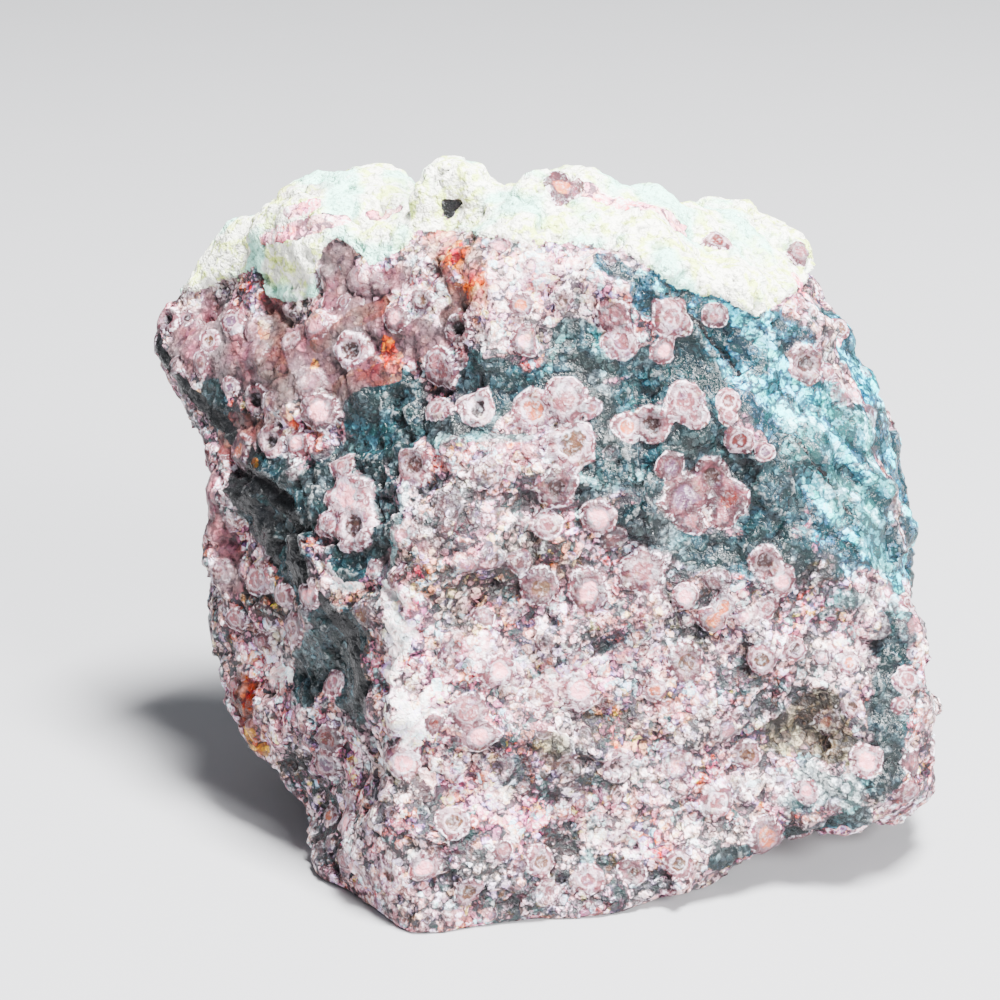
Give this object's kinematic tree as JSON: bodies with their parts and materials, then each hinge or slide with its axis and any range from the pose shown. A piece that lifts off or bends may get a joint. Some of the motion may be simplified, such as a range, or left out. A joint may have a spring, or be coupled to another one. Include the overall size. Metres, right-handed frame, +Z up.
{
  "type": "rough stone specimen",
  "caption": "Rough block of orbicular stone with a broken face, a ledge, a granular crust along its top and a flat foot to rest on.",
  "frame": {"origin": "centre of the bounding box in X and Y, at the height of the flat foot", "axes": "+X to the right across the widest broken face, +Y away from the viewer of that face, +Z up"},
  "size_m": [0.0802, 0.0568, 0.068],
  "materials": {
    "orbicular_stone": "rough broken stone"
  },
  "bodies": {
    "root": {"stone": "orbicular_stone"}
  },
  "joints": []
}
